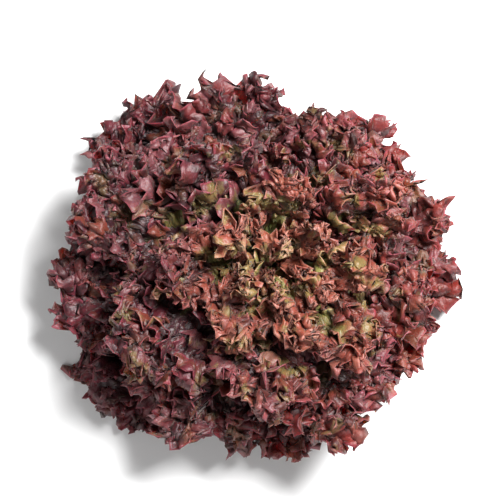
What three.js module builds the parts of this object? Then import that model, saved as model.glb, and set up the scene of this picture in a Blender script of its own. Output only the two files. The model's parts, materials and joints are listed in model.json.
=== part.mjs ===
// A head of lollo rosso lettuce, in millimetres, +Z up, standing on the cut face of its stem.
// The origin is the middle of that cut face. -Y is the side that faces the viewer.
//
// The leaves lie like a nest of bowls. A layer number runs from 0, the lowest and oldest leaf,
// to 1, the innermost, and no two layers ever touch. Each leaf keeps to its own layer, and its
// frills stay within the room that the leaves over and under it leave.
import * as THREE from "three";

const { clamp, degToRad, lerp, smoothstep } = THREE.MathUtils;

// The stem, from its cut face to the growing tip.
const STEM_RADIUS = 17;
const STEM_COLLAR = 9;
const STEM_HEIGHT = 44;
const STEM_TIP_RADIUS = 2.6;
const STEM_SIDES = 24;

// The leaves, numbered from the outside in, each a golden angle on from the last.
const LEAF_COUNT = 30;
const GOLDEN_ANGLE = degToRad(137.508);
const FIRST_AZIMUTH = degToRad(220);
const ROOT_GAP = 1.1;
const ROOT_LOW = 12;
const ROOT_HIGH = 44;

// How far the leaf tips reach from the stem, every 30 degrees round from +X, at the outside.
const REACH = [144, 156, 134, 152, 154, 174, 162, 160, 157, 150, 152, 138];
const HEART_REACH = 92;
const FULL_REACH = 175;

// Slope of the lowest and of the innermost layer, at the root and at full reach.
const OUTER_ROOT_SLOPE = degToRad(33);
const OUTER_TIP_SLOPE = degToRad(-3);
const HEART_ROOT_SLOPE = degToRad(88);
const HEART_TIP_SLOPE = degToRad(75);

// The head bows towards the viewer and to the right by this much at its full height.
const HEAD_HEIGHT = 140;
const BOW = { x: 28, y: -34 };

// The table flattens what hangs low: heights under TABLE_SOFT are eased up to TABLE_CLEAR.
const TABLE_CLEAR = 1.6;
const TABLE_SOFT = 9;

// The blade of an outer leaf, laid flat, and what share of that a heart leaf has. No leaf is wider
// than the ring it stands in has room for, which is measured at WIDTH_PLACE along it.
const BLADE_HALF_WIDTH = 70;
const BLADE_CENTRE = 0.6;
const BLADE_LOWER = 0.34;
const MARGIN_SWEEP = degToRad(130);
const HEART_WIDTH_SHARE = 0.5;
const WIDEST_ANGLE = degToRad(42);
const NARROWEST_ANGLE = degToRad(36);
const WIDTH_PLACE = 0.62;
const WIDTH_ROOM = 1;
const PETIOLE_SPREAD = 0.6;
const PETIOLE_FLARE = 1.3;
const LOWEST_BEND = 0.35;
const HIGHEST_BEND = 0.92;

// Notches cut the margin into lobes, uneven in place and depth.
const LOBES = 4.5;
const LOBE_CUT = 0.25;
const UNEVEN_SWEEP = 0.03;
const UNEVEN_LOBES = 0.07;
const UNEVEN_EDGE = 0.05;
const LOBES_FADE = 0.55;
const LOBES_END = 0.85;

// Frills: folds and pleats along the whole margin, and their height as a share of the room that a
// leaf has. Leaves that overlap are three apart in age, so each has half of three layers, and more
// in its middle, where the nearest leaf is five apart.
const FOLDS = 6;
const FOLD_START = 0.3;
const FOLD_SHARE = 0.45;
const FOLD_LEAN = 0.025;
const PLEAT_START = 0.64;
const PLEAT_FULL = 0.94;
const PLEAT_SHARE = 0.5;
const PLEAT_STEEP = 0.22;
const LAYERS_APART = 3;
const MIDDLE_ROOM = 1.55;
const MIDDLE_ANGLE = degToRad(10);
const TOOTH_LENGTH = 2.6;

// Thickness: the margin, and the rib's extra at the root.
const HALF_BLADE = 0.38;
const HALF_RIB = 1.1;
const RIB_HALF_WIDTH = 5;
const MOST_MITRE = 1.7;

// A leaf's mesh has rows from root to margin, each with a multiple of the leaf's steps across it.
// At the margin a pleat takes two of those spans, one up and one down.
const ROWS = [
  { v: 0, times: 1 },
  { v: 0.3, times: 1 },
  { v: 0.5, times: 2 },
  { v: 0.66, times: 4 },
  { v: 0.84, times: 8 },
  { v: 1, times: 8 },
];
const OUTER_STEPS = 7;
const HEART_STEPS = 3;
const PLEATS_A_STEP = 4;

// A fixed draw between 0 and 1 for leaf i and use k, the same on every run.
function draw(i, k) {
  const x = Math.sin((i + 1) * 12.9898 + k * 78.233) * 43758.5453;
  return x - Math.floor(x);
}

// A smooth wander between about -1 and 1 along x.
function wander(x, seed) {
  const slow = 0.5 * Math.sin(1.9 * x + 6.3 * seed);
  const quick = 0.3 * Math.sin(4.3 * x + 17 * seed) + 0.2 * Math.sin(7.7 * x + 29 * seed);
  return slow + quick;
}

// The reach at an azimuth, smoothly between the listed ones.
function reachAt(azimuth) {
  const step = (2 * Math.PI) / REACH.length;
  const place = (((azimuth / step) % REACH.length) + REACH.length) % REACH.length;
  const low = Math.floor(place);
  return lerp(REACH[low], REACH[(low + 1) % REACH.length], smoothstep(place - low, 0, 1));
}

// Layer geometry: where a layer leaves the stem, and its slope at distance s from there.
const rootRadius = (w) => lerp(STEM_RADIUS + ROOT_GAP, STEM_TIP_RADIUS + ROOT_GAP, w);
const rootHeight = (w) => lerp(ROOT_LOW, ROOT_HIGH, w);

function slope(w, s) {
  const tip = lerp(OUTER_TIP_SLOPE, HEART_TIP_SLOPE, w);
  const root = lerp(OUTER_ROOT_SLOPE, HEART_ROOT_SLOPE, w);
  const left = 1 - clamp(s / FULL_REACH, 0, 1);
  return tip + (root - tip) * left * left;
}

// Millimetres between layers, square to them, for one unit of w.
function layerSpacing(w, s) {
  const step = 0.01;
  const a = slope(w, s);
  const turn = (slope(w + step, s) - slope(w - step, s)) / (2 * step);
  return s * turn + (ROOT_HIGH - ROOT_LOW) * Math.cos(a) + (STEM_RADIUS - STEM_TIP_RADIUS) * Math.sin(a);
}

// Distance from the stem's axis, at distance s along a layer.
const radiusAlong = (w, s) => rootRadius(w) + s * Math.cos(slope(w, s));

// What the table and the head's bow do to a point.
function settle(point) {
  if (point.z < TABLE_SOFT) {
    const depth = TABLE_SOFT - TABLE_CLEAR;
    point.z = TABLE_CLEAR + depth * Math.exp((point.z - TABLE_SOFT) / depth);
  }
  return bow(point);
}

function bow(point) {
  const share = (point.z / HEAD_HEIGHT) ** 2;
  point.x += BOW.x * share;
  point.y += BOW.y * share;
  return point;
}

// How far round from its midrib a leaf may spread.
const widestAngle = (layer) => lerp(WIDEST_ANGLE, NARROWEST_ANGLE, layer);

// How far round from its midrib a point of a leaf lies.
function sideAngle(leaf, x, y) {
  const widest = widestAngle(leaf.layer);
  const wide = x / (widest * radiusAlong(leaf.layer, y));
  return (widest * wide) / (1 + wide ** 4) ** 0.25;
}

// A point of a leaf: x across and y along the flat leaf, n off its mid-layer, all in mm.
function place(leaf, x, y, n) {
  const w = leaf.layer + n / layerSpacing(leaf.layer, y);
  const azimuth = leaf.azimuth + sideAngle(leaf, x, y);
  const radius = radiusAlong(w, y);
  const height = rootHeight(w) + y * Math.sin(slope(w, y));
  return settle(new THREE.Vector3(radius * Math.cos(azimuth), radius * Math.sin(azimuth), height));
}

// The flat leaf: line u, from -1 at its left edge to 1 at its right, goes from root to margin.
function marginPoint(leaf, u) {
  const sweep = MARGIN_SWEEP * (u + UNEVEN_SWEEP * wander(6 * u, leaf.seed) * (1 - u * u));
  const lobePhase = LOBES * Math.PI * (u + UNEVEN_LOBES * wander(3 * u, leaf.seed + 0.5)) + leaf.lobeStart;
  const notch = (0.5 + 0.5 * Math.cos(lobePhase)) ** 3;
  const cut = -LOBE_CUT * notch + UNEVEN_EDGE * wander(3.3 * u, leaf.seed + 0.2);
  const lobed = 1 + cut * (1 - smoothstep(Math.abs(u), LOBES_FADE, LOBES_END));
  const alongHalf = Math.abs(sweep) < Math.PI / 2 ? 1 - BLADE_CENTRE : BLADE_LOWER;
  return new THREE.Vector2(
    leaf.halfWidth * lobed * Math.sin(sweep),
    leaf.length * (BLADE_CENTRE + lobed * alongHalf * Math.cos(sweep)),
  );
}

// Each line leaves the root along the leaf, then bends to meet the margin squarely.
function flatPoint(leaf, u, v) {
  const root = u * leaf.rootHalfWidth;
  const end = marginPoint(leaf, u);
  const towardsTip = (end.y / leaf.length - BLADE_CENTRE) / (1 - BLADE_CENTRE);
  const back = (towardsTip * leaf.halfWidth ** 2) / (leaf.length * (1 - BLADE_CENTRE));
  const bendX = root * PETIOLE_FLARE;
  const bendY = clamp(end.y - back, LOWEST_BEND * end.y, HIGHEST_BEND * end.y);
  const x = (1 - v) ** 2 * root + 2 * v * (1 - v) * bendX + v * v * end.x;
  const y = 2 * v * (1 - v) * bendY + v * v * end.y;
  return new THREE.Vector2(x, y);
}

// The room for frills on each side of a leaf's mid-layer, in mm.
function room(leaf, x, y) {
  const half = (0.5 * LAYERS_APART * layerSpacing(leaf.layer, y)) / LEAF_COUNT - 2 * HALF_BLADE;
  const off = Math.abs(sideAngle(leaf, x, y));
  return half * lerp(MIDDLE_ROOM, 1, smoothstep(off, 0.4 * MIDDLE_ANGLE, MIDDLE_ANGLE));
}

// The width of one pleat, up and down again, where the blade lies flat.
function pleatWidth(leaf, u, v) {
  const a = flatPoint(leaf, u - 1 / leaf.pleats, v);
  const b = flatPoint(leaf, u + 1 / leaf.pleats, v);
  return place(leaf, a.x, a.y, 0).distanceTo(place(leaf, b.x, b.y, 0));
}

function leafPoint(leaf, u, v) {
  const flat = flatPoint(leaf, u, v);
  const most = room(leaf, flat.x, flat.y);
  const fold = FOLDS * Math.PI * (u + 1) + leaf.foldStart;
  const foldGrowth = smoothstep(v, FOLD_START, 1) * (1 + 0.2 * wander(5 * u, leaf.seed + 0.37));
  const pleat = leaf.pleats * Math.PI * (u + 1);
  const pleatReach = smoothstep(v, PLEAT_START, PLEAT_FULL);
  const pleatGrowth = pleatReach * (1 + 0.3 * wander(9 * u, leaf.seed + 0.71));
  const pleatHeight = pleatGrowth * Math.min(PLEAT_SHARE * most, PLEAT_STEEP * pleatWidth(leaf, u, v));
  const height = FOLD_SHARE * most * foldGrowth * Math.sin(fold) + pleatHeight * Math.cos(pleat);
  const along = -FOLD_LEAN * leaf.foldLength * foldGrowth * Math.sin(2 * fold);
  const out = leaf.toothLength * pleatGrowth ** 2 * (0.3 - 0.7 * Math.cos(pleat));
  const step = 0.01;
  const margin = marginPoint(leaf, u + step).sub(marginPoint(leaf, u - step)).normalize();
  flat.addScaledVector(margin, along);
  flat.x -= margin.y * out;
  flat.y += margin.x * out;
  return place(leaf, flat.x, flat.y, height);
}

function halfThickness(leaf, u, v) {
  const across = flatPoint(leaf, u, v).x / (RIB_HALF_WIDTH * leaf.size);
  const fade = (1 - v) ** 1.5;
  return HALF_BLADE + HALF_RIB * leaf.size * fade * Math.exp(-across * across);
}

// Joins two rows of points, the second with as many spans as the first or twice as many.
function stitch(triangles, a, spansA, b, spansB) {
  for (let i = 0; i < spansA; i++) {
    if (spansB === spansA) {
      triangles.push([a + i, a + i + 1, b + i], [a + i + 1, b + i + 1, b + i]);
      continue;
    }
    const c = b + 2 * i;
    triangles.push([a + i, c + 1, c], [a + i, a + i + 1, c + 1], [a + i + 1, c + 2, c + 1]);
  }
}

// Gives a sheet of points its thickness: the same triangles on both faces, and a rim between.
function thicken(points, halves, triangles) {
  const facets = triangles.map(([a, b, c]) => new THREE.Triangle(points[a], points[b], points[c]));
  const facing = facets.map((f) => f.getNormal(new THREE.Vector3()));
  const normals = points.map(() => new THREE.Vector3());
  triangles.forEach((t, k) => t.forEach((p) => normals[p].addScaledVector(facing[k], facets[k].getArea())));
  normals.forEach((n) => n.normalize());
  const leastFacing = points.map(() => 1);
  triangles.forEach((t, k) => {
    for (const p of t) leastFacing[p] = Math.min(leastFacing[p], normals[p].dot(facing[k]));
  });
  const count = points.length;
  const position = new Float32Array(count * 6);
  points.forEach((p, k) => {
    const mitre = Math.min(MOST_MITRE, 1 / Math.max(leastFacing[k], 0.1));
    const off = normals[k].clone().multiplyScalar(halves[k] * mitre);
    p.clone().add(off).toArray(position, 3 * k);
    p.clone().sub(off).toArray(position, 3 * (count + k));
  });
  const index = [];
  const edges = new Set();
  for (const [a, b, c] of triangles) {
    index.push(a, b, c, count + a, count + c, count + b);
    for (const [p, q] of [[a, b], [b, c], [c, a]]) edges.add(p * count + q);
  }
  for (const edge of edges) {
    const p = Math.floor(edge / count);
    const q = edge % count;
    if (!edges.has(q * count + p)) index.push(q, p, count + p, q, count + p, count + q);
  }
  const geometry = new THREE.BufferGeometry();
  geometry.setAttribute("position", new THREE.BufferAttribute(position, 3));
  return geometry.setIndex(index);
}

function leafGeometry(leaf) {
  const points = [];
  const halves = [];
  const triangles = [];
  let before = null;
  for (const { v, times } of ROWS) {
    const spans = times * leaf.steps;
    const start = points.length;
    for (let j = 0; j <= spans; j++) {
      const u = (2 * j) / spans - 1;
      points.push(leafPoint(leaf, u, v));
      halves.push(halfThickness(leaf, u, v));
    }
    if (before) stitch(triangles, before.start, before.spans, start, spans);
    before = { start, spans };
  }
  return thicken(points, halves, triangles);
}

function leafNumber(i) {
  const layer = (i + 0.5) / LEAF_COUNT;
  const azimuth = FIRST_AZIMUTH + i * GOLDEN_ANGLE;
  const inwards = smoothstep(layer, 0.35, 1);
  const length = lerp(reachAt(azimuth), HEART_REACH, inwards) * lerp(0.96, 1.03, draw(i, 1));
  const share = lerp(1, HEART_WIDTH_SHARE, inwards);
  const ringWidth = WIDTH_ROOM * widestAngle(layer) * radiusAlong(layer, WIDTH_PLACE * length);
  const halfWidth = Math.min(BLADE_HALF_WIDTH * share, ringWidth);
  const size = halfWidth / BLADE_HALF_WIDTH;
  const steps = Math.round(lerp(OUTER_STEPS, HEART_STEPS, smoothstep(layer, 0.3, 1)));
  return {
    layer,
    azimuth,
    length,
    halfWidth,
    size,
    steps,
    pleats: PLEATS_A_STEP * steps,
    seed: draw(i, 2),
    rootHalfWidth: rootRadius(layer) * PETIOLE_SPREAD,
    foldStart: (Math.floor(4 * draw(i, 3)) * Math.PI) / 2,
    lobeStart: 2 * Math.PI * draw(i, 4),
    foldLength: (2 * MARGIN_SWEEP * halfWidth) / FOLDS,
    toothLength: TOOTH_LENGTH * Math.sqrt(size),
  };
}

function stemGeometry() {
  const profile = [
    new THREE.Vector2(0, 0),
    new THREE.Vector2(STEM_RADIUS - 1, 0),
    new THREE.Vector2(STEM_RADIUS, 1),
    new THREE.Vector2(STEM_RADIUS, STEM_COLLAR),
    new THREE.Vector2(lerp(STEM_RADIUS, STEM_TIP_RADIUS, 0.5), lerp(STEM_COLLAR, STEM_HEIGHT, 0.47)),
    new THREE.Vector2(STEM_TIP_RADIUS, STEM_HEIGHT - 2),
    new THREE.Vector2(0, STEM_HEIGHT),
  ];
  const geometry = new THREE.LatheGeometry(profile, STEM_SIDES).rotateX(Math.PI / 2);
  const position = geometry.getAttribute("position");
  const point = new THREE.Vector3();
  for (let k = 0; k < position.count; k++) {
    bow(point.fromBufferAttribute(position, k));
    position.setXYZ(k, point.x, point.y, point.z);
  }
  return geometry;
}

const stemFlesh = new THREE.MeshStandardMaterial({ color: 0xd9dcb4, roughness: 0.55, metalness: 0 });
const outerBlade = new THREE.MeshStandardMaterial({ color: 0x5e2f35, roughness: 0.5, metalness: 0 });
const innerBlade = new THREE.MeshStandardMaterial({ color: 0x7d4540, roughness: 0.5, metalness: 0 });
const heartBlade = new THREE.MeshStandardMaterial({ color: 0xa86a58, roughness: 0.5, metalness: 0 });

function bladeMaterial(layer) {
  if (layer > 0.72) return heartBlade;
  return layer > 0.4 ? innerBlade : outerBlade;
}

const lettuce = new THREE.Group();
const stem = new THREE.Mesh(stemGeometry(), stemFlesh);
stem.name = "stem";
lettuce.add(stem);
for (let i = 0; i < LEAF_COUNT; i++) {
  const leaf = leafNumber(i);
  const mesh = new THREE.Mesh(leafGeometry(leaf), bladeMaterial(leaf.layer));
  mesh.name = `leaf_${String(i + 1).padStart(2, "0")}`;
  lettuce.add(mesh);
}

export default lettuce;
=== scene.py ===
# %% [markdown]
# A head of lollo rosso is a rosette. Thirty leaves leave a short stem, a golden angle apart, and
# each is a fan whose margin has grown far longer than its middle, so it buckles: into folds as wide
# as two fingers, the folds into pleats, the pleats into crimps, and the crimps into curls with
# pointed teeth. The solid model holds the stem, the leaves, their lobes, folds and pleats. Here
# every leaf is made again by the same rule on a fine mesh, and gets the crimps, curls, teeth, small
# fans and colours that are too fine for solids.

# %% Load the frame
import json
import math

import bpy
import numpy as np
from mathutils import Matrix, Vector

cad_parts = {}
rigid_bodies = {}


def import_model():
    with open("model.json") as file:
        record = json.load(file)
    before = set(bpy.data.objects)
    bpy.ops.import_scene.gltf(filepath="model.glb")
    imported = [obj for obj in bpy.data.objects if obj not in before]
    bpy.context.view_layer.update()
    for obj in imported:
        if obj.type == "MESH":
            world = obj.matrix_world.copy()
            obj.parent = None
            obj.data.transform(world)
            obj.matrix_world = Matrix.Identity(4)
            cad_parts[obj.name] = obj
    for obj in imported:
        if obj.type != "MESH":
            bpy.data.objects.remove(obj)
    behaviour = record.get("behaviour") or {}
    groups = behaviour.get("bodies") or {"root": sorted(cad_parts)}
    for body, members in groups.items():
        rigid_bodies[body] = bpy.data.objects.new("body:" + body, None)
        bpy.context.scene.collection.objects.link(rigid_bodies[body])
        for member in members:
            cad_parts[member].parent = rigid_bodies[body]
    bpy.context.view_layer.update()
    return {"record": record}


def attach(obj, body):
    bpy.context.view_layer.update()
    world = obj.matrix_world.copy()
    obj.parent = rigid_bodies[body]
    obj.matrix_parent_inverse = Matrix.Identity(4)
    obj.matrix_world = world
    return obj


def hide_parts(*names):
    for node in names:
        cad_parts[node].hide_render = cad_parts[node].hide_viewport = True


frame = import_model()
SLOT_OF = {row["node"]: row["material_slot"] for row in frame["record"]["subparts"]}
LEAF_NODES = sorted(name for name in SLOT_OF if name.startswith("leaf_"))

# %% [markdown]
# The photograph looks down on the head, a little from the front. The camera stands as steeply, far
# off with a long lens, so that near and far leaves keep one scale.

# %% Camera
VIEW_ELEVATION = math.radians(80)
VIEW_DISTANCE = 1.315
LENS_MM = 120
LOOK_AT = np.array([-0.0095, 0.003, 0.070])

camera = bpy.data.objects.new("camera", bpy.data.cameras.new("camera"))
bpy.context.scene.collection.objects.link(camera)
camera.data.lens = LENS_MM
towards_viewer = np.array([0, -math.cos(VIEW_ELEVATION), math.sin(VIEW_ELEVATION)])
camera.location = LOOK_AT + VIEW_DISTANCE * towards_viewer
camera.rotation_euler = (math.pi / 2 - VIEW_ELEVATION, 0, 0)
bpy.context.scene.camera = camera
print("camera at", [round(x, 3) for x in camera.location])

# %% [markdown]
# Geometry Nodes and materials are both trees of nodes. One helper adds a node, gives it its
# settings and fills its inputs, each with a number, a colour or another node's output.

# %% Helpers for node trees


def node(tree, kind, inputs=None, **settings):
    """Adds a node; inputs maps a socket's name or number to a value or to another socket."""
    made = tree.nodes.new(kind)
    for key, value in settings.items():
        setattr(made, key, value)
    for key, value in (inputs or {}).items():
        if isinstance(value, bpy.types.NodeSocket):
            tree.links.new(value, made.inputs[key])
        else:
            made.inputs[key].default_value = value
    return made


def calc(tree, operation, a, b=0.0):
    return node(tree, "ShaderNodeMath", {0: a, 1: b}, operation=operation).outputs[0]


def times(tree, first, *rest):
    for factor in rest:
        first = calc(tree, "MULTIPLY", first, factor)
    return first


def ease(tree, value, start, full):
    """0 where value is at start, 1 where it is at full, smooth between."""
    fade = node(tree, "ShaderNodeMapRange", {0: value, 1: start, 2: full}, interpolation_type="SMOOTHSTEP")
    return fade.outputs[0]


def linear(hex_colour):
    """An sRGB hex colour as the linear RGBA that a shader takes."""
    parts = [int(hex_colour[k : k + 2], 16) / 255 for k in (0, 2, 4)]
    return [c / 12.92 if c <= 0.04045 else ((c + 0.055) / 1.055) ** 2.4 for c in parts] + [1.0]


def mix_colours(tree, share, a, b):
    """A colour between a and b, each an sRGB hex colour or another node's output."""
    a, b = [linear(colour) if isinstance(colour, str) else colour for colour in (a, b)]
    return node(tree, "ShaderNodeMix", {0: share, 6: a, 7: b}, data_type="RGBA").outputs[2]


# %% [markdown]
# The rule of the head, in millimetres, as the solid model states it. The leaves lie like a nest of
# bowls: layer 0 is the lowest and oldest leaf, layer 1 the innermost, and no two layers touch. numpy
# works out a whole leaf at once.

# %% Sizes of the head
STEM_RADIUS, STEM_COLLAR, STEM_HEIGHT, STEM_TIP_RADIUS = 17, 9, 44, 2.6
LEAF_COUNT = 30
GOLDEN_ANGLE = math.radians(137.508)
FIRST_AZIMUTH = math.radians(220)
ROOT_GAP, ROOT_LOW, ROOT_HIGH = 1.1, 12, 44
REACH = [144, 156, 134, 152, 154, 174, 162, 160, 157, 150, 152, 138]
HEART_REACH, FULL_REACH = 92, 175
OUTER_ROOT_SLOPE, OUTER_TIP_SLOPE = math.radians(33), math.radians(-3)
HEART_ROOT_SLOPE, HEART_TIP_SLOPE = math.radians(88), math.radians(75)
HEAD_HEIGHT = 140
BOW_X, BOW_Y = 28, -34
TABLE_CLEAR, TABLE_SOFT = 1.6, 9

# %% Sizes of a leaf
BLADE_HALF_WIDTH, BLADE_CENTRE, BLADE_LOWER = 70, 0.6, 0.34
MARGIN_SWEEP = math.radians(130)
HEART_WIDTH_SHARE = 0.5
WIDEST_ANGLE, NARROWEST_ANGLE = math.radians(42), math.radians(36)
WIDTH_PLACE, WIDTH_ROOM = 0.62, 1
PETIOLE_SPREAD, PETIOLE_FLARE = 0.6, 1.3
LOWEST_BEND, HIGHEST_BEND = 0.35, 0.92
LOBES, LOBE_CUT = 4.5, 0.25
UNEVEN_SWEEP, UNEVEN_LOBES, UNEVEN_EDGE = 0.03, 0.07, 0.05
LOBES_FADE, LOBES_END = 0.55, 0.85
FOLDS, FOLD_START, FOLD_SHARE, FOLD_LEAN = 6, 0.3, 0.45, 0.025
PLEAT_START, PLEAT_FULL, PLEAT_SHARE, PLEAT_STEEP = 0.64, 0.94, 0.5, 0.22
PLEATS_A_STEP, OUTER_STEPS, HEART_STEPS = 4, 7, 3
LAYERS_APART, MIDDLE_ROOM, MIDDLE_ANGLE = 3, 1.55, math.radians(10)
TOOTH_LENGTH = 2.6
HALF_BLADE, HALF_RIB, RIB_HALF_WIDTH = 0.38, 1.1, 5

# %% Small functions of the rule


def lerp(a, b, t):
    return a + (b - a) * t


def smoothstep(x, low, high):
    t = np.clip((x - low) / (high - low), 0, 1)
    return t * t * (3 - 2 * t)


def draw(i, k):
    """A fixed draw between 0 and 1 for leaf i and use k, the same as in the solid model."""
    x = math.sin((i + 1) * 12.9898 + k * 78.233) * 43758.5453
    return x - math.floor(x)


def wander(x, seed):
    """A smooth wander between about -1 and 1 along x."""
    slow = 0.5 * np.sin(1.9 * x + 6.3 * seed)
    return slow + 0.3 * np.sin(4.3 * x + 17 * seed) + 0.2 * np.sin(7.7 * x + 29 * seed)


def reach_at(azimuth):
    """The reach at an azimuth, smoothly between the listed ones."""
    place_in_list = (azimuth / (2 * math.pi / len(REACH))) % len(REACH)
    low = int(place_in_list)
    return lerp(REACH[low], REACH[(low + 1) % len(REACH)], smoothstep(place_in_list - low, 0, 1))


# %% Layers, from the lowest bowl to the innermost


def root_radius(w):
    return lerp(STEM_RADIUS + ROOT_GAP, STEM_TIP_RADIUS + ROOT_GAP, w)


def root_height(w):
    return lerp(ROOT_LOW, ROOT_HIGH, w)


def slope(w, s):
    tip = lerp(OUTER_TIP_SLOPE, HEART_TIP_SLOPE, w)
    root = lerp(OUTER_ROOT_SLOPE, HEART_ROOT_SLOPE, w)
    left = 1 - np.clip(s / FULL_REACH, 0, 1)
    return tip + (root - tip) * left * left


def layer_spacing(w, s):
    """Millimetres between layers, square to them, for one unit of w."""
    step = 0.01
    turn = (slope(w + step, s) - slope(w - step, s)) / (2 * step)
    a = slope(w, s)
    return s * turn + (ROOT_HIGH - ROOT_LOW) * np.cos(a) + (STEM_RADIUS - STEM_TIP_RADIUS) * np.sin(a)


def radius_along(w, s):
    return root_radius(w) + s * np.cos(slope(w, s))


def bow(x, y, z):
    """The head bows towards the viewer and to the right, more the higher it is."""
    share = (z / HEAD_HEIGHT) ** 2
    return np.stack([x + BOW_X * share, y + BOW_Y * share, z], -1)


def settle(x, y, z):
    """The table flattens what hangs low, then the head bows."""
    depth = TABLE_SOFT - TABLE_CLEAR
    z = np.where(z < TABLE_SOFT, TABLE_CLEAR + depth * np.exp(np.minimum(z - TABLE_SOFT, 0) / depth), z)
    return bow(x, y, z)


# %% A leaf on its layer


def widest_angle(layer):
    return lerp(WIDEST_ANGLE, NARROWEST_ANGLE, layer)


def side_angle(leaf, x, y):
    widest = widest_angle(leaf["layer"])
    wide = x / (widest * radius_along(leaf["layer"], y))
    return widest * wide / (1 + wide**4) ** 0.25


def place(leaf, x, y, n):
    """A point of a leaf: x across and y along the flat leaf, n off its mid-layer."""
    w = leaf["layer"] + n / layer_spacing(leaf["layer"], y)
    azimuth = leaf["azimuth"] + side_angle(leaf, x, y)
    radius = radius_along(w, y)
    height = root_height(w) + y * np.sin(slope(w, y))
    return settle(radius * np.cos(azimuth), radius * np.sin(azimuth), height)


def margin_point(leaf, u):
    seed = leaf["seed"]
    sweep = MARGIN_SWEEP * (u + UNEVEN_SWEEP * wander(6 * u, seed) * (1 - u * u))
    lobe_phase = LOBES * math.pi * (u + UNEVEN_LOBES * wander(3 * u, seed + 0.5)) + leaf["lobe_start"]
    cut = UNEVEN_EDGE * wander(3.3 * u, seed + 0.2) - LOBE_CUT * (0.5 + 0.5 * np.cos(lobe_phase)) ** 3
    lobed = 1 + cut * (1 - smoothstep(np.abs(u), LOBES_FADE, LOBES_END))
    along_half = np.where(np.abs(sweep) < math.pi / 2, 1 - BLADE_CENTRE, BLADE_LOWER)
    y = leaf["length"] * (BLADE_CENTRE + lobed * along_half * np.cos(sweep))
    return np.stack([leaf["half_width"] * lobed * np.sin(sweep), y], -1)


def flat_point(leaf, u, v):
    """Line u of the flat leaf runs from root, v = 0, to margin, v = 1, and meets it squarely."""
    root = u * leaf["root_half_width"]
    end = margin_point(leaf, u)
    towards_tip = (end[..., 1] / leaf["length"] - BLADE_CENTRE) / (1 - BLADE_CENTRE)
    back = towards_tip * leaf["half_width"] ** 2 / (leaf["length"] * (1 - BLADE_CENTRE))
    bend_y = np.clip(end[..., 1] - back, LOWEST_BEND * end[..., 1], HIGHEST_BEND * end[..., 1])
    x = (1 - v) ** 2 * root + 2 * v * (1 - v) * root * PETIOLE_FLARE + v * v * end[..., 0]
    return np.stack([x, 2 * v * (1 - v) * bend_y + v * v * end[..., 1]], -1)


def room(leaf, x, y):
    """The room for frills on each side of a leaf's mid-layer, in mm."""
    half = 0.5 * LAYERS_APART * layer_spacing(leaf["layer"], y) / LEAF_COUNT - 2 * HALF_BLADE
    off = np.abs(side_angle(leaf, x, y))
    return half * lerp(MIDDLE_ROOM, 1, smoothstep(off, 0.4 * MIDDLE_ANGLE, MIDDLE_ANGLE))


def pleat_width(leaf, u, v):
    a = flat_point(leaf, u - 1 / leaf["pleats"], v)
    b = flat_point(leaf, u + 1 / leaf["pleats"], v)
    gap = place(leaf, a[..., 0], a[..., 1], 0) - place(leaf, b[..., 0], b[..., 1], 0)
    return np.linalg.norm(gap, axis=-1)


# %% Folds and pleats


def leaf_point(leaf, u, v):
    flat = flat_point(leaf, u, v)
    most = room(leaf, flat[..., 0], flat[..., 1])
    fold = FOLDS * math.pi * (u + 1) + leaf["fold_start"]
    fold_growth = smoothstep(v, FOLD_START, 1) * (1 + 0.2 * wander(5 * u, leaf["seed"] + 0.37))
    pleat = leaf["pleats"] * math.pi * (u + 1)
    pleat_growth = smoothstep(v, PLEAT_START, PLEAT_FULL) * (1 + 0.3 * wander(9 * u, leaf["seed"] + 0.71))
    pleat_height = pleat_growth * np.minimum(PLEAT_SHARE * most, PLEAT_STEEP * pleat_width(leaf, u, v))
    height = FOLD_SHARE * most * fold_growth * np.sin(fold) + pleat_height * np.cos(pleat)
    along = -FOLD_LEAN * leaf["fold_length"] * fold_growth * np.sin(2 * fold)
    out = leaf["tooth_length"] * pleat_growth**2 * (0.3 - 0.7 * np.cos(pleat))
    step = 0.01
    margin = margin_point(leaf, u + step) - margin_point(leaf, u - step)
    margin /= np.linalg.norm(margin, axis=-1, keepdims=True)
    x = flat[..., 0] + margin[..., 0] * along - margin[..., 1] * out
    y = flat[..., 1] + margin[..., 1] * along + margin[..., 0] * out
    return place(leaf, x, y, height)


def leaf_number(i):
    layer = (i + 0.5) / LEAF_COUNT
    azimuth = FIRST_AZIMUTH + i * GOLDEN_ANGLE
    inwards = float(smoothstep(layer, 0.35, 1))
    length = lerp(reach_at(azimuth), HEART_REACH, inwards) * lerp(0.96, 1.03, draw(i, 1))
    share = lerp(1, HEART_WIDTH_SHARE, inwards)
    ring_width = WIDTH_ROOM * widest_angle(layer) * radius_along(layer, WIDTH_PLACE * length)
    half_width = min(BLADE_HALF_WIDTH * share, ring_width)
    steps = math.floor(lerp(OUTER_STEPS, HEART_STEPS, float(smoothstep(layer, 0.3, 1))) + 0.5)
    return {
        "layer": layer,
        "azimuth": azimuth,
        "length": length,
        "half_width": half_width,
        "size": half_width / BLADE_HALF_WIDTH,
        "pleats": PLEATS_A_STEP * steps,
        "seed": draw(i, 2),
        "root_half_width": root_radius(layer) * PETIOLE_SPREAD,
        "fold_start": math.floor(4 * draw(i, 3)) * math.pi / 2,
        "lobe_start": 2 * math.pi * draw(i, 4),
        "fold_length": 2 * MARGIN_SWEEP * half_width / FOLDS,
        "tooth_length": TOOTH_LENGTH * math.sqrt(half_width / BLADE_HALF_WIDTH),
    }


leaves = [leaf_number(i) for i in range(LEAF_COUNT)]
print("leaf lengths", [round(leaf["length"]) for leaf in leaves[::6]], "mm")

# %% [markdown]
# A leaf starts as a sheet without thickness. Its rows run parallel to the margin, and each row that
# nears the margin may have twice as many points as the one before, because that is where the crimps
# are. The sheet carries facts that the later steps read: how far along and how far in from the
# margin each point is, how far up the leaf and off its rib, how old the leaf is, how warm and which
# tint its red is, and which way is outwards.

# %% The grid of a sheet
POINTS_A_PLEAT = 11
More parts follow.
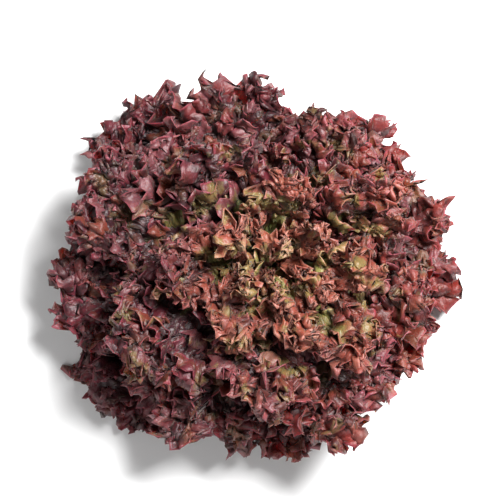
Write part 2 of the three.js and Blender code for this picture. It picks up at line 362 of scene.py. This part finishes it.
# Each band: where it starts and ends between root and margin, its rows, and how coarse they are.
BANDS = [(0.0, 0.4, 6, 8), (0.4, 0.74, 22, 4), (0.74, 0.94, 16, 2), (0.94, 1.0, 8, 1)]
ROWS = [
    (lerp(start, end, k / rows), coarseness)
    for start, end, rows, coarseness in BANDS
    for k in range(rows)
]
ROWS.append((1.0, 1))


def stitch(a, spans_a, b, spans_b):
    """Triangles between two rows of points, the second with as many spans or twice as many."""
    i = np.arange(spans_a)
    c = b + 2 * i
    corners = [(a + i, c, c + 1), (a + i, c + 1, a + i + 1), (a + i + 1, c + 1, c + 2)]
    if spans_a == spans_b:
        corners = [(a + i, b + i, a + i + 1), (a + i + 1, b + i, b + i + 1)]
    return np.concatenate([np.stack(three, 1) for three in corners])


def sheet_grid(spans_at_margin):
    """Each point's place between the sides, u, and from root to margin, v, and the triangles."""
    us, vs, faces = [], [], []
    before = None
    count = 0
    for v, coarseness in ROWS:
        spans = spans_at_margin // coarseness
        us.append(np.linspace(-1, 1, spans + 1))
        vs.append(np.full(spans + 1, v))
        if before:
            faces.append(stitch(*before, count, spans))
        before = (count, spans)
        count += spans + 1
    return np.concatenate(us), np.concatenate(vs), np.concatenate(faces)


# %% The sheet of a leaf
METRES = 0.001
COARSEST = 8
MEASURED_ROW = 0.86
TINT_SWINGS = 12


def sheet_mesh(name, points, faces):
    mesh = bpy.data.meshes.new(name)
    mesh.vertices.add(len(points))
    mesh.vertices.foreach_set("co", (points * METRES).ravel())
    mesh.loops.add(3 * len(faces))
    mesh.loops.foreach_set("vertex_index", faces.ravel())
    mesh.polygons.add(len(faces))
    mesh.polygons.foreach_set("loop_start", np.arange(0, 3 * len(faces), 3))
    mesh.polygons.foreach_set("use_smooth", np.ones(len(faces), bool))
    mesh.update()
    return mesh


def tell(mesh, name, values):
    """Stores a number or a direction for every point of the mesh."""
    values = np.asarray(values, np.float32)
    kind, field = ("FLOAT", "value") if values.ndim == 1 else ("FLOAT_VECTOR", "vector")
    mesh.attributes.new(name, kind, "POINT").data.foreach_set(field, values.ravel())


def leaf_sheet(i, leaf):
    spans = COARSEST * round(leaf["pleats"] * POINTS_A_PLEAT / COARSEST)
    u, v, faces = sheet_grid(spans)
    points = leaf_point(leaf, u, v)
    mesh = sheet_mesh(f"sheet {i + 1}", points, faces)
    row_u = np.linspace(-1, 1, spans + 1)
    row = leaf_point(leaf, row_u, np.full(spans + 1, MEASURED_ROW))
    row_length = np.concatenate([[0], np.cumsum(np.linalg.norm(np.diff(row, axis=0), axis=1))])
    flat = flat_point(leaf, u, v)
    outwards = points - leaf_point(leaf, u, v - 0.01)
    outwards /= np.maximum(np.linalg.norm(outwards, axis=1, keepdims=True), 1e-9)
    tell(mesh, "along_mm", np.interp(u, row_u, row_length))
    tell(mesh, "depth_mm", np.linalg.norm(flat_point(leaf, u, np.ones_like(v)) - flat, axis=1))
    tell(mesh, "up_leaf", v)
    tell(mesh, "rib_mm", np.abs(flat[:, 0]))
    tell(mesh, "age", np.full(len(u), leaf["layer"]))
    tell(mesh, "warmth", np.full(len(u), 0.5 + 0.5 * math.cos(leaf["azimuth"])))
    tell(mesh, "tint", 0.5 + 0.45 * wander(TINT_SWINGS * u, leaf["seed"] + 0.9))
    tell(mesh, "outwards", outwards)
    return mesh


# %% [markdown]
# The frill tree. A buckled margin repeats itself at ever smaller sizes, which is what a displacement
# does when it is applied again on its own result, each time with a shorter wave and nearer the
# margin. Sine waves along the margin alone would look like a machine-made ruffle, so noise shifts
# each wave and changes its height, and two levels of noise in all three directions crumple the
# blade. Waves and creases push along the normals that the level before has left.

# %% Parts of the frill tree
# The first two are millimetres from the margin, the others metres above the table.
CRUMPLE_FULL, GATHER_REACH = 15.0, 50.0
LOWEST_FRILL, LOWEST_SOFT = 0.0015, 0.004


def read(tree, name, kind="FLOAT"):
    named = node(tree, "GeometryNodeInputNamedAttribute", {"Name": name}, data_type=kind)
    return named.outputs["Attribute"]


def move(tree, geometry, direction, mm):
    scale = times(tree, mm, METRES)
    offset = node(tree, "ShaderNodeVectorMath", {0: direction, "Scale": scale}, operation="SCALE").outputs[0]
    return node(tree, "GeometryNodeSetPosition", {"Geometry": geometry, "Offset": offset}).outputs[0]


def wobble(tree, along, spacing, seed):
    """Smooth noise between about -1 and 1, with a swing every `spacing` mm along the margin."""
    at = node(tree, "ShaderNodeCombineXYZ", {"X": calc(tree, "DIVIDE", along, spacing), "Y": seed})
    noise = node(
        tree,
        "ShaderNodeTexNoise",
        {"Vector": at.outputs[0], "Scale": 1.0, "Detail": 1.0},
        noise_dimensions="2D",
        normalize=False,
    )
    return noise.outputs[0]


def waves(tree, geometry, along, depth, wave, height, reach, full, seed):
    """Waves along the margin, `wave` mm long, that push the blade to and fro along its normals."""
    shift = wobble(tree, along, times(tree, wave, 2.5), seed)
    turn = times(tree, calc(tree, "ADD", calc(tree, "DIVIDE", along, wave), shift), 2 * math.pi)
    uneven = wobble(tree, along, times(tree, wave, 1.7), calc(tree, "ADD", seed, 7.3))
    strength = calc(tree, "ADD", 0.9, times(tree, uneven, 0.9))
    lift = times(tree, calc(tree, "SINE", turn), strength, ease(tree, depth, reach, full), height)
    return move(tree, geometry, node(tree, "GeometryNodeInputNormal").outputs[0], lift)


def grain_noise(tree, grain, seed):
    """Noise between about -1 and 1 whose swings are `grain` mm apart in all three directions."""
    position = node(tree, "GeometryNodeInputPosition").outputs[0]
    scale = calc(tree, "DIVIDE", 1 / METRES, grain)
    grains = node(tree, "ShaderNodeVectorMath", {0: position, "Scale": scale}, operation="SCALE").outputs[0]
    shift = node(tree, "ShaderNodeCombineXYZ", {"X": seed, "Y": seed, "Z": seed}).outputs[0]
    shifted = node(tree, "ShaderNodeVectorMath", {0: grains, 1: shift}, operation="ADD").outputs[0]
    inputs = {"Vector": shifted, "Scale": 1.0, "Detail": 1.0, "Roughness": 0.4}
    return node(tree, "ShaderNodeTexNoise", inputs, normalize=False).outputs


def crumple(tree, geometry, depth, grain, height, reach, seed):
    """Pushes the blade about by smooth noise in all three directions."""
    away = grain_noise(tree, grain, seed)["Color"]
    return move(tree, geometry, away, times(tree, ease(tree, depth, reach, CRUMPLE_FULL), height))


def crease(tree, geometry, depth, grain, height, reach, seed):
    """Hollows with sharp crests between them, where the noise changes sign."""
    noise = calc(tree, "ABSOLUTE", grain_noise(tree, grain, seed)[0])
    lift = times(tree, calc(tree, "SUBTRACT", 0.25, noise), ease(tree, depth, reach, CRUMPLE_FULL), height)
    return move(tree, geometry, node(tree, "GeometryNodeInputNormal").outputs[0], lift)


def teeth(tree, geometry, along, depth, wave, length, seed):
    """Draws the margin out into uneven points."""
    shift = times(tree, wobble(tree, along, 14.0, calc(tree, "ADD", seed, 3.0)), 1.2)
    saw = calc(tree, "PINGPONG", calc(tree, "ADD", calc(tree, "DIVIDE", along, wave), shift), 0.5)
    point = calc(tree, "POWER", times(tree, saw, 2.0), 1.6)
    uneven = times(tree, wobble(tree, along, 9.0, calc(tree, "ADD", seed, 5.0)), 0.9)
    out = times(tree, point, calc(tree, "ADD", 1.0, uneven), length, ease(tree, depth, 5.0, 0.0))
    return move(tree, geometry, read(tree, "outwards", "FLOAT_VECTOR"), out)


def gather(tree, geometry, depth, length):
    """Draws the margin in, because a crumpled sheet takes up less room than a smooth one."""
    inwards = times(tree, ease(tree, depth, GATHER_REACH, 0.0), length, -1)
    return move(tree, geometry, read(tree, "outwards", "FLOAT_VECTOR"), inwards)


def rest_on_table(tree, geometry):
    """Bends what would hang below the table top up onto it."""
    position = node(tree, "GeometryNodeInputPosition").outputs[0]
    spot = node(tree, "ShaderNodeSeparateXYZ", {0: position}).outputs
    heights = {0: spot[2], 1: LOWEST_FRILL, 2: LOWEST_SOFT}
    z = node(tree, "ShaderNodeMath", heights, operation="SMOOTH_MAX").outputs[0]
    rested = node(tree, "ShaderNodeCombineXYZ", {0: spot[0], 1: spot[1], 2: z}).outputs[0]
    return node(tree, "GeometryNodeSetPosition", {"Geometry": geometry, "Position": rested}).outputs[0]


# %% [markdown]
# The margin of a real leaf is so long that many of its frills turn back over the blade. They are
# small fans: narrow where they leave the blade, wide and toothed at their edge, and curled over like
# a wave that breaks. Six fans of different widths and teeth are enough, because each copy is turned,
# scaled and tinted, and then puckered by the noise of its own place on the head. Scattering them with
# points that keep their distance covers the blade evenly without a pattern.

# %% Small fans
FAN_COUNT = 6
FAN_SPANS, FAN_ROWS = 12, 5
FAN_LENGTH, FAN_ROOT, FAN_SUNK = 16, 4, 0.8
FAN_RISE, FAN_FALL = math.radians(70), math.radians(-25)
NARROWEST_FAN, WIDEST_FAN = math.radians(38), math.radians(70)
FEWEST_TEETH, MOST_TEETH = 1.5, 2.5
FAN_RUFFLE, FEWEST_RUFFLES, MOST_RUFFLES = 3.6, 1.5, 2.6


def fan_mesh(k):
    """Fan number k: s runs from side to side and t from root to edge, rising and then bending down."""
    side_to_side, root_to_edge = np.linspace(-1, 1, FAN_SPANS + 1), np.linspace(0, 1, FAN_ROWS + 1)
    s, t = [grid.ravel() for grid in np.meshgrid(side_to_side, root_to_edge)]
    spread = lerp(NARROWEST_FAN, WIDEST_FAN, draw(k, 11)) * s
    tooth = np.abs((lerp(FEWEST_TEETH, MOST_TEETH, draw(k, 12)) * s + draw(k, 13)) % 1 - 0.5) * 2
    length = FAN_LENGTH * t * (1 - 0.25 * s * s) * (1 + t * t * (0.45 * tooth - 0.22))
    turned = lerp(FAN_RISE, FAN_FALL, t)
    bent = (FAN_RISE - FAN_FALL) * np.maximum(t, 0.001)
    forwards = length * np.cos(spread)
    ruffles = lerp(FEWEST_RUFFLES, MOST_RUFFLES, draw(k, 14))
    ruffle = FAN_RUFFLE * t * t * np.sin(ruffles * math.pi * s + 6.3 * draw(k, 15))
    x = FAN_ROOT * s * (1 - t) + length * np.sin(spread)
    y = forwards * (math.sin(FAN_RISE) - np.sin(turned)) / bent
    z = forwards * (np.cos(turned) - math.cos(FAN_RISE)) / bent + ruffle - FAN_SUNK
    row = FAN_SPANS + 1
    corner = (np.arange(FAN_ROWS)[:, None] * row + np.arange(FAN_SPANS)).ravel()
    halves = [(corner, corner + 1, corner + row + 1), (corner, corner + row + 1, corner + row)]
    faces = np.concatenate([np.stack(half, 1) for half in halves])
    mesh = sheet_mesh(f"fan {k + 1}", np.stack([x, y, z], 1), faces)
    to_tip = FAN_LENGTH * (1 - t)
    to_side = FAN_LENGTH * (1 - np.abs(s)) * (0.3 + 0.7 * t)
    tell(mesh, "depth_mm", np.minimum(to_tip, to_side))
    tell(mesh, "along_mm", FAN_LENGTH * (k + s))
    return mesh


FANS = bpy.data.collections.new("small fans")
for k in range(FAN_COUNT):
    FANS.objects.link(bpy.data.objects.new(f"fan {k + 1}", fan_mesh(k)))
print(FAN_COUNT, "fans of", 2 * FAN_SPANS * FAN_ROWS, "triangles")

# %% Fans on the blade
# Fans fade in from the first value to the second: millimetres from the margin, share of the way up
# the leaf, and metres above the table.
FANS_FROM_MARGIN = (11.0, 18.0)
FANS_UP_LEAF = (0.26, 0.36)
FANS_BELOW_TOP = (0.124, 0.116)
MOST_FANS_A_SQUARE_METRE = 60000.0
UP_STRAY, OUT_STRAY = 0.35, 0.9
SMALLEST_FAN, LARGEST_FAN, FEW_LARGE_FANS = 0.7, 1.7, 2.5
HEART_FAN_LOSS = 0.2


def blend_vectors(tree, a, b, share):
    """a plus a share of b."""
    part = node(tree, "ShaderNodeVectorMath", {0: b, "Scale": share}, operation="SCALE").outputs[0]
    return node(tree, "ShaderNodeVectorMath", {0: a, 1: part}, operation="ADD").outputs[0]


def add_fans(tree, blade, depth, spacing, seed):
    """Scatters fans over the blade, clear of its margin, of its root and of the top of the head."""
    position = node(tree, "GeometryNodeInputPosition").outputs[0]
    height = node(tree, "ShaderNodeSeparateXYZ", {0: position}).outputs[2]
    inside = ease(tree, depth, *FANS_FROM_MARGIN)
    above_root = ease(tree, read(tree, "up_leaf"), *FANS_UP_LEAF)
    below_top = ease(tree, height, *FANS_BELOW_TOP)
    spots = node(
        tree,
        "GeometryNodeDistributePointsOnFaces",
        {
            "Mesh": blade,
            "Distance Min": times(tree, spacing, METRES),
            "Density Max": MOST_FANS_A_SQUARE_METRE,
            "Density Factor": times(tree, inside, above_root, below_top),
            "Seed": seed,
        },
        distribute_method="POISSON",
    ).outputs
    ends = {"Min": (-1, -1, -1), "Max": (1, 1, 1), "Seed": seed}
    stray = node(tree, "FunctionNodeRandomValue", ends, data_type="FLOAT_VECTOR").outputs[0]
    axes = {
        "Primary Axis": blend_vectors(tree, spots["Normal"], stray, UP_STRAY),
        "Secondary Axis": blend_vectors(tree, read(tree, "outwards", "FLOAT_VECTOR"), stray, OUT_STRAY),
    }
    turned = node(tree, "FunctionNodeAxesToRotation", axes, primary_axis="Z", secondary_axis="Y").outputs[0]
    ends = {2: 0.0, 3: 1.0, "Seed": seed}
    chance = node(tree, "FunctionNodeRandomValue", ends, data_type="FLOAT").outputs[1]
    larger = times(tree, calc(tree, "POWER", chance, FEW_LARGE_FANS), LARGEST_FAN - SMALLEST_FAN)
    loss = times(tree, ease(tree, read(tree, "age"), 0.5, 1.0), HEART_FAN_LOSS)
    size = times(tree, calc(tree, "ADD", SMALLEST_FAN, larger), calc(tree, "SUBTRACT", 1.0, loss))
    choice = {"Collection": FANS, "Separate Children": True, "Reset Children": True}
    copies = node(
        tree,
        "GeometryNodeInstanceOnPoints",
        {
            "Points": spots["Points"],
            "Instance": node(tree, "GeometryNodeCollectionInfo", choice).outputs[0],
            "Pick Instance": True,
            "Rotation": turned,
            "Scale": size,
        },
    ).outputs[0]
    ends = {2: 0.0, 3: 1.0, "Seed": calc(tree, "ADD", seed, 1.0)}
    tint = node(tree, "FunctionNodeRandomValue", ends, data_type="FLOAT").outputs[1]
    own_tint = {"Geometry": copies, "Name": "tint", "Value": tint}
    copies = node(
        tree, "GeometryNodeStoreNamedAttribute", own_tint, data_type="FLOAT", domain="INSTANCE"
    ).outputs[0]
    fans = node(tree, "GeometryNodeRealizeInstances", {"Geometry": copies}).outputs[0]
    both = tree.nodes.new("GeometryNodeJoinGeometry")
    tree.links.new(fans, both.inputs[0])
    tree.links.new(blade, both.inputs[0])
    return both.outputs[0]


# %% [markdown]
# The tree itself goes from large to small: teeth, gathers, crimps, crumples and creases, then the
# fans, and last the puckers and curls, which run over blade and fans alike. Every size is an input,
# so that a leaf of the heart can have lower frills. The tree ends by making the copies real and
# setting the material.

# %% The frill tree, with its sizes as inputs
CRIMP_FULL, CURL_FULL = 14.0, 4.0
FRILL_INPUTS = {
    "Crumple grain mm": 24.0,
    "Crumple height mm": 12.0,
    "Crumple reach mm": 110.0,
    "Pucker grain mm": 8.0,
    "Pucker height mm": 3.4,
    "Pucker reach mm": 150.0,
    "Crease grain mm": 11.0,
    "Crease height mm": 14.0,
    "Crease reach mm": 160.0,
    "Gather mm": 5.0,
    "Crimp wave mm": 11.0,
    "Crimp height mm": 6.0,
    "Crimp reach mm": 55.0,
    "Curl wave mm": 5.5,
    "Curl height mm": 1.8,
    "Curl reach mm": 25.0,
    "Tooth wave mm": 8.5,
    "Tooth length mm": 6.2,
    "Fan spacing mm": 12.5,
    "Seed": 0.0,
}


def frill_tree(material):
    tree = bpy.data.node_groups.new("margin frills", "GeometryNodeTree")
    tree.interface.new_socket("Geometry", in_out="INPUT", socket_type="NodeSocketGeometry")
    for name, value in FRILL_INPUTS.items():
        tree.interface.new_socket(name, in_out="INPUT", socket_type="NodeSocketFloat").default_value = value
    tree.interface.new_socket("Geometry", in_out="OUTPUT", socket_type="NodeSocketGeometry")
    given = tree.nodes.new("NodeGroupInput").outputs

    def sizes(*names):
        return [given[f"{name} mm"] for name in names]

    along, depth, seed = read(tree, "along_mm"), read(tree, "depth_mm"), given["Seed"]
    shape = teeth(tree, given["Geometry"], along, depth, *sizes("Tooth wave", "Tooth length"), seed)
    shape = gather(tree, shape, depth, *sizes("Gather"))
    crimp_sizes = sizes("Crimp wave", "Crimp height", "Crimp reach")
    shape = waves(tree, shape, along, depth, *crimp_sizes, CRIMP_FULL, seed)
    shape = crumple(tree, shape, depth, *sizes("Crumple grain", "Crumple height", "Crumple reach"), seed)
    crease_seed = calc(tree, "ADD", seed, 23.0)
    shape = crease(tree, shape, depth, *sizes("Crease grain", "Crease height", "Crease reach"), crease_seed)
    shape = add_fans(tree, shape, depth, *sizes("Fan spacing"), seed)
    pucker_seed = calc(tree, "ADD", seed, 13.0)
    shape = crumple(tree, shape, depth, *sizes("Pucker grain", "Pucker height", "Pucker reach"), pucker_seed)
    curl_seed = calc(tree, "ADD", seed, 31.0)
    curl_sizes = sizes("Curl wave", "Curl height", "Curl reach")
    shape = waves(tree, shape, along, depth, *curl_sizes, CURL_FULL, curl_seed)
    shape = rest_on_table(tree, shape)
    shape = node(tree, "GeometryNodeRealizeInstances", {"Geometry": shape}).outputs[0]
    shape = node(tree, "GeometryNodeSetMaterial", {"Geometry": shape, "Material": material}).outputs[0]
    tree.links.new(shape, tree.nodes.new("NodeGroupOutput").inputs[0])
    return tree


# %% [markdown]
# The blade is thin, living tissue: a satin, waxy skin over wet flesh that lets some light through.
# Its upper side is wine red from a pigment that builds up in the light. So it is strongest on the old
# leaves, thins to salmon and olive green in the young heart, and stops at the pale green rib. Painted
# shade darkens the blade away from the margin, deep between the frills. No two frills have quite the
# same red: some are mauve, some are rusty, and the side of the head towards positive x is warmer.
# The very edge is a thread of brighter pink. Real veins stand 2 to 3 mm apart and the grain of the
# skin is finer still, too fine to show here, so they are drawn 8 mm and 3.2 mm apart.

# %% Leaf materials
VEIN_GAP, VEIN_RELIEF = 8.0, 0.8
SKIN_GRAIN, SKIN_RELIEF = 3.2, 0.0014
BLADE_FINISH = {
    "Subsurface Weight": 0.2,
    "Subsurface Scale": 0.003,
    "Specular IOR Level": 0.6,
    "Sheen Weight": 0.11,
    "Sheen Roughness": 0.35,
    "Sheen Tint": linear("f2dcd8"),
}
YOUNG_RIM = "b47a6c"


def blade_material(name, cool, warm, mauve, rust, young, olive, base, rim, roughness):
    """Skin of a blade; cool and warm each hold the painted-shade red, the deep red and the lighter red."""
    material = bpy.data.materials.new(name)
    material.use_nodes = True
    tree = material.node_tree
    shader = tree.nodes["Principled BSDF"]
    shader.inputs["Roughness"].default_value = roughness
    for socket, value in BLADE_FINISH.items():
        shader.inputs[socket].default_value = value

    def fact(attribute):
        return node(tree, "ShaderNodeAttribute", attribute_name=attribute).outputs["Fac"]

    def mix(share, a, b):
        return mix_colours(tree, share, a, b)

    place_on_head = node(tree, "ShaderNodeTexCoord").outputs["Object"]

    def blotches(size_mm, detail=2.0):
        inputs = {"Vector": place_on_head, "Scale": 1 / (size_mm * METRES), "Detail": detail}
        return node(tree, "ShaderNodeTexNoise", inputs).outputs[0]

    def uneven(size_mm, height):
        return times(tree, calc(tree, "SUBTRACT", blotches(size_mm), 0.5), height)

    age, depth, up = fact("age"), fact("depth_mm"), fact("up_leaf")
    tint = calc(tree, "ADD", fact("tint"), uneven(20, 0.6))
    warmth = ease(tree, calc(tree, "ADD", fact("warmth"), calc(tree, "SUBTRACT", tint, 0.5)), 0.0, 1.0)
    painted_shade, deep, red = [mix(warmth, cool[k], warm[k]) for k in (0, 1, 2)]
    colour = mix(ease(tree, blotches(16), 0.4, 0.62), deep, red)
    colour = mix(times(tree, ease(tree, tint, 0.6, 0.85), 0.75), colour, mauve)
    colour = mix(times(tree, ease(tree, tint, 0.3, 0.1), 0.6), colour, rust)
    youth = ease(tree, calc(tree, "ADD", age, uneven(30, 0.5)), 0.5, 0.8)
    colour = mix(youth, colour, young)
    # Painted shade: the blade turns darker the further a point lies from the margin, deep between the
    # frills.
    colour = mix(times(tree, ease(tree, depth, 10.0, 32.0), 0.85), colour, painted_shade)
    greener = calc(tree, "ADD", blotches(22, 4.0), times(tree, age, 0.09))
    green = times(tree, ease(tree, greener, 0.58, 0.68), ease(tree, age, 0.1, 0.7), 0.75)
    colour = mix(green, colour, olive)
    pale = ease(tree, calc(tree, "ADD", up, uneven(12, 0.2)), 0.36, 0.2)
    along = calc(tree, "ADD", fact("along_mm"), uneven(9, 6.0))
    vein = ease(tree, calc(tree, "PINGPONG", along, VEIN_GAP / 2), 0.7, 0.1)
    colour = mix(times(tree, vein, 0.05), colour, base)
    rib = times(tree, ease(tree, fact("rib_mm"), 4.0, 1.5), ease(tree, up, 0.6, 0.3))
    colour = mix(calc(tree, "MAXIMUM", pale, times(tree, rib, 0.7)), colour, base)
    colour = mix(times(tree, ease(tree, depth, 1.0, 0.2), 0.4), colour, mix(youth, rim, YOUNG_RIM))
    tree.links.new(colour, shader.inputs["Base Color"])

    relief = calc(tree, "ADD", blotches(SKIN_GRAIN, 4.0), times(tree, vein, VEIN_RELIEF))
    bump = node(tree, "ShaderNodeBump", {"Height": relief, "Distance": SKIN_RELIEF, "Strength": 0.7})
    tree.links.new(bump.outputs[0], shader.inputs["Normal"])
    return material


# In cool and warm, the first colour is the painted shade put on the blade deep between the frills.
UPPER = blade_material(
    "leaf upper side, satin wine red",
    cool=("280810", "330c14", "581b25"),
    warm=("360d0c", "461110", "742922"),
    mauve="703e43",
    rust="6e321a",
    young="843f30",
    olive="766a38",
    base="8a9050",
    rim="9c4052",
    roughness=0.5,
)
UNDER = blade_material(
    "leaf underside, matt mauve brown",
    cool=("321014", "3c1318", "642829"),
    warm=("3e1612", "4c1914", "783628"),
    mauve="78474b",
    rust="763c20",
    young="894836",
    olive="7a6e3c",
    base="929860",
    rim="8f404d",
    roughness=0.54,
)
print("materials:", UPPER.name, "and", UNDER.name)

# %% [markdown]
# Each leaf is made the same way: its sheet, the frill tree on it, then Solidify for the thickness of
# the blade, with the second material on the underside. The result is turned into a plain mesh, which
# rides on the one body and takes the place of the solid leaf.

# %% Make the leaves
BLADE_THICKNESS = 0.42
RIB_THICKNESS = 2 * (HALF_BLADE + HALF_RIB)
HEART_FRILLS = 0.6
SEEDS_APART = 3.7


def rib_group(draft, leaf):
    """Marks how far each point belongs to the rib, which Solidify makes thicker than the blade."""
    count = len(draft.data.vertices)
    up, off = np.zeros(count, np.float32), np.zeros(count, np.float32)
    draft.data.attributes["up_leaf"].data.foreach_get("value", up)
    draft.data.attributes["rib_mm"].data.foreach_get("value", off)
    share = (1 - up) ** 1.5 * np.exp(-((off / (RIB_HALF_WIDTH * leaf["size"])) ** 2)) * leaf["size"]
    group = draft.vertex_groups.new(name="rib")
    for k in np.flatnonzero(share > 0.01):
        group.add([int(k)], float(share[k]), "REPLACE")


def set_input(modifier, name, value):
    for item in modifier.node_group.interface.items_tree:
        if item.name == name and item.in_out == "INPUT":
            modifier[item.identifier] = value


def finished_leaf(title, i, leaf, tree):
    draft = bpy.data.objects.new(f"draft {title}", leaf_sheet(i, leaf))
    bpy.context.scene.collection.objects.link(draft)
    draft.data.materials.append(UPPER)
    draft.data.materials.append(UNDER)
    rib_group(draft, leaf)
    frills = draft.modifiers.new("frills", "NODES")
    frills.node_group = tree
    set_input(frills, "Seed", SEEDS_APART * i)
    for name, value in FRILL_INPUTS.items():
        if "height" in name:
            set_input(frills, name, value * lerp(1, HEART_FRILLS, float(smoothstep(leaf["layer"], 0.4, 1))))
    solid = draft.modifiers.new("blade thickness", "SOLIDIFY")
    solid.thickness = RIB_THICKNESS * METRES
    solid.vertex_group = "rib"
    solid.thickness_vertex_group = BLADE_THICKNESS / RIB_THICKNESS
    solid.offset = 0
    solid.material_offset = 1
    solid.use_quality_normals = True
    mesh = bpy.data.meshes.new_from_object(draft.evaluated_get(bpy.context.evaluated_depsgraph_get()))
    bpy.data.objects.remove(draft)
    piece = bpy.data.objects.new(title, mesh)
    bpy.context.scene.collection.objects.link(piece)
    return piece


FRILLS = frill_tree(UPPER)
triangles = 0
for i, (leaf, leaf_node) in enumerate(zip(leaves, LEAF_NODES)):
    piece = finished_leaf(f"{leaf_node}_blade", i, leaf, FRILLS)
    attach(piece, "root")
    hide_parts(leaf_node)
    piece.data.calc_loop_triangles()
    triangles += len(piece.data.loop_triangles)
for fan in list(FANS.objects):
    bpy.data.objects.remove(fan)
bpy.data.collections.remove(FANS)
print(triangles, "triangles in", len(leaves), "leaves")

# %% [markdown]
# The stem is a short stump of pale, wet flesh, cut flat, with eight ridges that twist up its side. It
# is a solid of revolution, so its outline is turned round the axis; a sine wave on the radius gives
# the ridges. Its foot stays flat, because the head stands on it. The cut dries brown from its edge in.

# %% The stem
STEM_SIDES = 120
STEM_ROWS = 48
STEM_RIDGE, RIDGE_COUNT, RIDGE_TWIST = 0.6, 8, 0.35
STEM_OUTLINE = [
    (0, 0),
    (STEM_RADIUS - 1, 0),
    (STEM_RADIUS, 1),
    (STEM_RADIUS, STEM_COLLAR),
    (lerp(STEM_RADIUS, STEM_TIP_RADIUS, 0.5), lerp(STEM_COLLAR, STEM_HEIGHT, 0.47)),
    (STEM_TIP_RADIUS, STEM_HEIGHT - 2),
    (0, STEM_HEIGHT),
]


def stem_mesh():
    outline = np.array(STEM_OUTLINE, float)
    reach = np.concatenate([[0], np.cumsum(np.linalg.norm(np.diff(outline, axis=0), axis=1))])
    at = np.unique(np.concatenate([reach, np.linspace(0, reach[-1], STEM_ROWS)]))[1:-1]
    radius, height = [np.interp(at, reach, outline[:, k]) for k in (0, 1)]
    turn = np.linspace(0, 2 * math.pi, STEM_SIDES, endpoint=False)
    phase = RIDGE_COUNT * turn + RIDGE_TWIST * height[:, None]
    ridges = 0.5 * STEM_RIDGE * np.sin(phase) * (height[:, None] > 1)
    wide = radius[:, None] * (1 + ridges / STEM_RADIUS)
    high = height[:, None] + 0 * turn
    ring = bow(wide * np.cos(turn), wide * np.sin(turn), high).reshape(-1, 3)
    ends = bow(np.zeros(2), np.zeros(2), np.array([0.0, STEM_HEIGHT]))
    rows, foot, tip = len(at), len(ring), len(ring) + 1
    i = np.arange(STEM_SIDES)
    j = (i + 1) % STEM_SIDES
    faces = [np.stack([np.full_like(i, foot), j, i], 1)]
    for row in range(rows - 1):
        a, b = row * STEM_SIDES, (row + 1) * STEM_SIDES
        faces += [np.stack([a + i, a + j, b + j], 1), np.stack([a + i, b + j, b + i], 1)]
    last = (rows - 1) * STEM_SIDES
    faces.append(np.stack([last + i, last + j, np.full_like(i, tip)], 1))
    return sheet_mesh("stem", np.concatenate([ring, ends]), np.concatenate(faces))


def stem_material():
    material = bpy.data.materials.new("stem flesh, pale green, dried brown on the cut")
    material.use_nodes = True
    tree = material.node_tree
    shader = tree.nodes["Principled BSDF"]
    shader.inputs["Roughness"].default_value = 0.5
    shader.inputs["Subsurface Weight"].default_value = 0.25
    shader.inputs["Subsurface Scale"].default_value = 0.004
    spot = node(tree, "ShaderNodeTexCoord").outputs["Object"]
    axes = node(tree, "ShaderNodeSeparateXYZ", {0: spot}).outputs
    flat = node(tree, "ShaderNodeCombineXYZ", {0: axes[0], 1: axes[1]}).outputs[0]
    off_axis = node(tree, "ShaderNodeVectorMath", {0: flat}, operation="LENGTH").outputs["Value"]
    noise = node(tree, "ShaderNodeTexNoise", {"Vector": spot, "Scale": 1000 / 3, "Detail": 4.0}).outputs[0]
    cut = ease(tree, axes[2], 0.0012, 0.0002)
    dried = ease(tree, calc(tree, "ADD", off_axis, times(tree, noise, 0.008)), 0.008, 0.02)
    greener = mix_colours(tree, ease(tree, axes[2], 0.004, 0.03), "dfe0c0", "b7c48a")
    brown = mix_colours(tree, dried, "d8cfa4", "8a5a34")
    colour = mix_colours(tree, cut, greener, brown)
    tree.links.new(colour, shader.inputs["Base Color"])
    bump = node(tree, "ShaderNodeBump", {"Height": noise, "Distance": 0.0003, "Strength": 0.4})
    tree.links.new(bump.outputs[0], shader.inputs["Normal"])
    return material


stem = bpy.data.objects.new("stem_flesh", stem_mesh())
bpy.context.scene.collection.objects.link(stem)
stem.data.materials.append(stem_material())
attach(stem, "root")
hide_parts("stem")
print("stem of", len(stem.data.polygons), "triangles")

# %% [markdown]
# A plain pale floor and soft studio light: a wide lamp high at the back right, which gives the
# frills their lights, a weak one from the front left, and an even pale sky that fills the hollows.

# %% Floor, light and sky
FLOOR_HALF = 3
corners = [(-FLOOR_HALF, -FLOOR_HALF, 0), (FLOOR_HALF, -FLOOR_HALF, 0), (FLOOR_HALF, FLOOR_HALF, 0)]
floor_mesh = bpy.data.meshes.new("floor")
floor_mesh.from_pydata([*corners, (-FLOOR_HALF, FLOOR_HALF, 0)], [], [(0, 1, 2, 3)])
floor = bpy.data.objects.new("floor", floor_mesh)
bpy.context.scene.collection.objects.link(floor)
paper = bpy.data.materials.new("matt white paper")
paper.use_nodes = True
paper.node_tree.nodes["Principled BSDF"].inputs["Base Color"].default_value = linear("f2f2f2")
paper.node_tree.nodes["Principled BSDF"].inputs["Roughness"].default_value = 0.9
floor_mesh.materials.append(paper)


def soft_lamp(name, watts, size, spot):
    lamp = bpy.data.lights.new(name, "AREA")
    lamp.energy = watts
    lamp.size = size
    holder = bpy.data.objects.new(name, lamp)
    holder.location = spot
    holder.rotation_euler = (Vector(LOOK_AT) - Vector(spot)).to_track_quat("-Z", "Y").to_euler()
    bpy.context.scene.collection.objects.link(holder)


soft_lamp("window", 41, 0.45, (0.5, 0.3, 1.15))
soft_lamp("fill", 9, 1.2, (-0.8, -0.9, 1.1))
sky = bpy.data.worlds.new("studio")
bpy.context.scene.world = sky
sky.use_nodes = True
sky.node_tree.nodes["Background"].inputs["Color"].default_value = (1, 1, 1, 1)
sky.node_tree.nodes["Background"].inputs["Strength"].default_value = 0.18
bpy.context.scene.view_settings.view_transform = "Standard"
